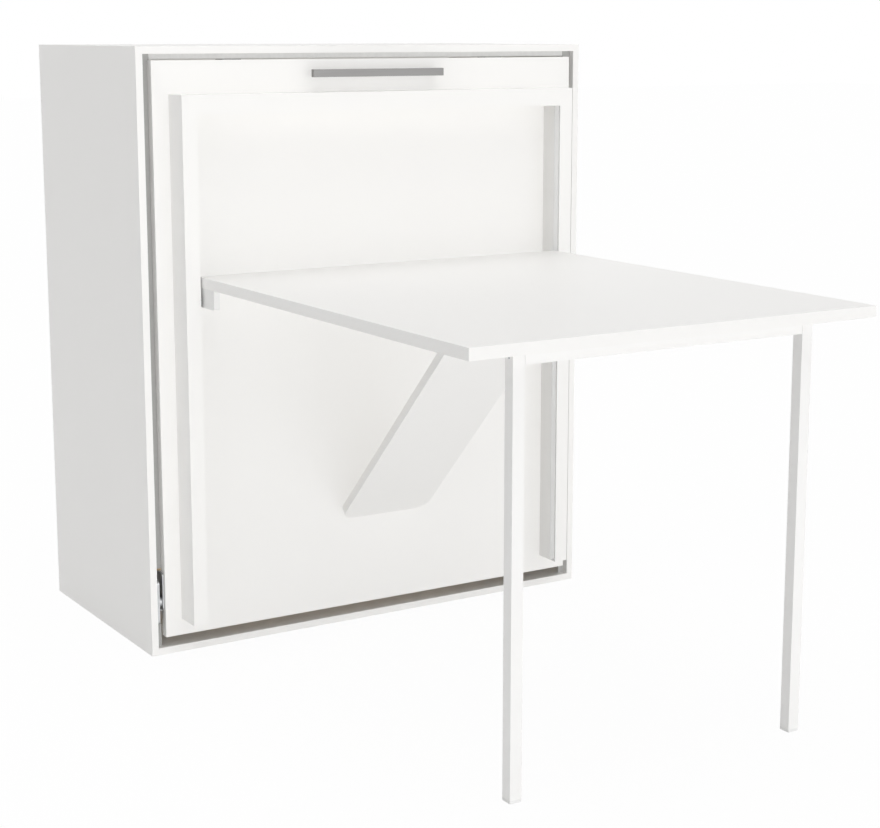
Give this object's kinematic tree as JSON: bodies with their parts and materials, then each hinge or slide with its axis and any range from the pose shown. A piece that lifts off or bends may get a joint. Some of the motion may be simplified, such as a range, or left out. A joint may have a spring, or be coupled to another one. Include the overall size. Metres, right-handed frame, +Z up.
{
  "type": "wall bed with fold down desk",
  "caption": "Closed wall bed in a low white cabinet, its desk folded down on slim legs and propped by a leaning board; the front tilts down as a slatted bed base.",
  "frame": {"origin": "centre of the cabinet's footprint, on the floor", "axes": "X across the cabinet, -Y out of its front, Z up"},
  "size_m": [1.01, 1.515, 1.18],
  "materials": {
    "white_board": "white melamine faced board, matte",
    "white_metal": "white powder coat",
    "satin_metal": "satin anodised",
    "steel": "zinc plated",
    "slat_wood": "birch plywood",
    "ticking": "woven cotton ticking",
    "white_plastic": "matte",
    "dark_plastic": "matte"
  },
  "bodies": {
    "cabinet": {"side_panel_left": "white_board", "side_panel_right": "white_board", "top_panel": "white_board", "bottom_panel": "white_board", "back_panel": "white_board", "wall_rail": "white_board", "pivot_plate_left": "steel", "pivot_plate_right": "steel", "top_catches": "dark_plastic", "support_batten_left": "white_board", "support_batten_right": "white_board", "cabinet_slats": "slat_wood", "mattress_pad_1": "ticking", "mattress_pad_2": "ticking", "mattress_pad_3": "ticking", "mattress_pad_4": "ticking"},
    "bed_front": {"front_panel": "white_board", "pull_handle": "satin_metal", "frame_stile_left": "white_board", "frame_stile_right": "white_board", "frame_top_rail": "white_board", "desk_track_left": "satin_metal", "desk_track_right": "satin_metal", "catch_strikes": "steel", "pivot_ear_left": "steel", "pivot_ear_right": "steel", "pivot_pins": "steel", "ear_screws": "steel", "base_rail_left": "white_metal", "base_rail_right": "white_metal", "base_cross_tubes": "white_metal", "base_slats": "slat_wood", "fold_plates_base": "steel", "fold_pins": "steel"},
    "flap": {"flap_rail_left": "white_metal", "flap_rail_right": "white_metal", "flap_cross_tubes": "white_metal", "flap_slats": "slat_wood", "fold_plates_flap": "steel", "flap_legs": "white_metal", "flap_feet": "dark_plastic"},
    "track_shoes": {"track_shoe_left": "dark_plastic", "track_shoe_right": "dark_plastic"},
    "desk": {"desktop": "white_board", "desk_bracket_left": "steel", "desk_bracket_right": "steel", "prop_runners": "steel", "desk_crossbar": "white_metal"},
    "desk_legs": {"desk_leg_left": "white_metal", "desk_leg_right": "white_metal", "leg_axle": "steel", "leg_feet": "white_plastic"},
    "prop_shoe": {"prop_shoe": "dark_plastic"},
    "prop": {"prop_board": "white_board", "prop_knuckles": "steel"}
  },
  "joints": [
    {"name": "front_tilt", "type": "hinge", "parent": "cabinet", "child": "bed_front", "pos_m": [0, -0.2425, 0.105], "axis": [1, 0, 0], "range_deg": [0, 90]},
    {"name": "flap_turn", "type": "hinge", "parent": "bed_front", "child": "flap", "pos_m": [0, -0.193, 1.105], "axis": [1, 0, 0], "range_deg": [0, 180]},
    {"name": "desk_drop", "type": "slide", "parent": "bed_front", "child": "track_shoes", "axis": [0, 0, -1], "range_m": [0, 0.622]},
    {"name": "desk_tilt", "type": "hinge", "parent": "track_shoes", "child": "desk", "pos_m": [0, -0.3115, 0.702], "axis": [-1, 0, 0], "range_deg": [0, 90]},
    {"name": "legs_fold", "type": "hinge", "parent": "desk", "child": "desk_legs", "pos_m": [0, -1.2055, 0.7187], "axis": [1, 0, 0], "range_deg": [0, 90]},
    {"name": "prop_slide", "type": "slide", "parent": "desk", "child": "prop_shoe", "axis": [0, 1, 0], "range_m": [0, 0.256]},
    {"name": "prop_fold", "type": "hinge", "parent": "prop_shoe", "child": "prop", "pos_m": [0, -0.74734, 0.72], "axis": [-1, 0, 0], "range_deg": [0, 134.8]}
  ],
  "couplings": [
    {"joint": "flap_turn", "follows": "front_tilt", "ratio": 2},
    {"joint": "desk_drop", "follows": "desk_tilt", "m_per_rad": 0.3959},
    {"joint": "prop_slide", "follows": "prop_fold", "m_per_rad": 0.1088}
  ]
}
